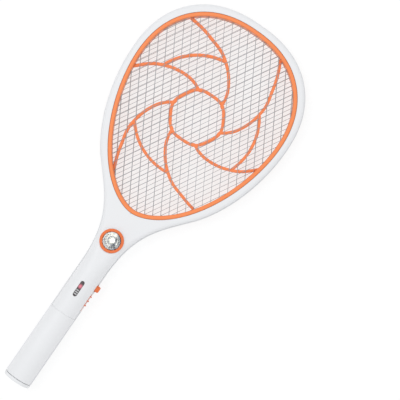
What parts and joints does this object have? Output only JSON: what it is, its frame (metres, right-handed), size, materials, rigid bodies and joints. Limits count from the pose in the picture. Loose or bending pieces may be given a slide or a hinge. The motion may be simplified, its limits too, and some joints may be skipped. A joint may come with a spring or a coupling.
{
  "type": "electric fly swatter",
  "caption": "Racket-shaped electric fly swatter: egg-shaped frame with curved ribs behind wire nets, a lamp in the neck, a side push button and slide switch, and a pull-off battery grip.",
  "frame": {"origin": "middle of the length and width, at the level of the handle's back", "axes": "+Y along the handle from the grip to the head, +X towards the push button, +Z out of the front face"},
  "size_m": [0.216, 0.5, 0.034],
  "materials": {
    "white_abs": "satin moulded ABS, near white",
    "orange_abs": "satin moulded ABS, light orange",
    "steel_net": "plated steel wire",
    "clear_lens": "clear moulded lens",
    "chrome_mirror": "vacuum-plated reflector",
    "smoked_window": "dark smoked window",
    "black_plastic": "black moulded plastic",
    "board_green": "glass-fibre circuit board",
    "copper": "enamelled copper winding",
    "ferrite": "pressed ferrite",
    "part_blue": "coated ceramic body",
    "part_tan": "film capacitor in dipped resin",
    "led_red": "red LED resin",
    "led_yellow": "white LED with yellow phosphor",
    "cell_wrap": "shrink-wrapped lithium cell",
    "wire_red": "red PVC insulation",
    "wire_black": "black PVC insulation",
    "bright_steel": "plated steel",
    "gold_contact": "gold-flashed brass"
  },
  "bodies": {
    "racket": {"front_shell": "white_abs", "rear_shell": "white_abs", "front_guard": "orange_abs", "rear_guard": "orange_abs", "front_net": "steel_net", "centre_net": "steel_net", "rear_net": "steel_net", "front_spacer": "orange_abs", "rear_spacer": "orange_abs", "lamp_bezel": "orange_abs", "lamp_lens": "clear_lens", "lamp_reflector": "chrome_mirror", "lamp_led": "led_yellow", "lamp_board": "board_green", "indicator_window": "smoked_window", "indicator_led_1": "led_red", "indicator_led_2": "led_yellow", "main_board": "board_green", "hv_board": "board_green", "transformer_core": "ferrite", "transformer_coil": "copper", "transistor": "black_plastic", "hv_capacitor": "part_tan", "hv_diode_1": "black_plastic", "hv_diode_2": "black_plastic", "bleed_resistor": "part_blue", "zap_switch": "black_plastic", "mode_switch": "bright_steel", "switch_plate": "orange_abs", "lead_centre": "wire_red", "lead_front": "wire_black", "lead_rear": "wire_black", "lead_hv": "wire_red", "lead_lamp": "wire_black", "socket_block": "black_plastic", "socket_contact_1": "gold_contact", "socket_contact_2": "gold_contact", "casing_screw_1": "bright_steel", "casing_screw_2": "bright_steel", "casing_screw_3": "bright_steel", "casing_screw_4": "bright_steel", "casing_screw_5": "bright_steel", "casing_screw_6": "bright_steel", "casing_screw_7": "bright_steel"},
    "push_button": {"zap_button": "orange_abs"},
    "slide_knob": {"mode_knob": "orange_abs"},
    "grip": {"grip_sleeve": "white_abs", "grip_head": "black_plastic", "end_cap": "white_abs", "battery_cell": "cell_wrap", "battery_cradle": "black_plastic", "battery_spring": "bright_steel", "battery_tab": "bright_steel", "charge_board": "board_green", "usb_socket": "bright_steel", "contact_pin_1": "gold_contact", "contact_pin_2": "gold_contact", "lead_cell_plus": "wire_red", "lead_cell_minus": "wire_black"}
  },
  "joints": [
    {"name": "button_press", "type": "slide", "parent": "racket", "child": "push_button", "axis": [-1, 0, 0], "range_m": [0, 0.0015], "stiffness_N_per_m": 800, "springref_m": -0.0005},
    {"name": "mode_slide", "type": "slide", "parent": "racket", "child": "slide_knob", "axis": [0, -1, 0], "range_m": [0, 0.005]},
    {"name": "grip_pull", "type": "slide", "parent": "racket", "child": "grip", "axis": [0, -1, 0], "range_m": [0, 0.04]}
  ]
}
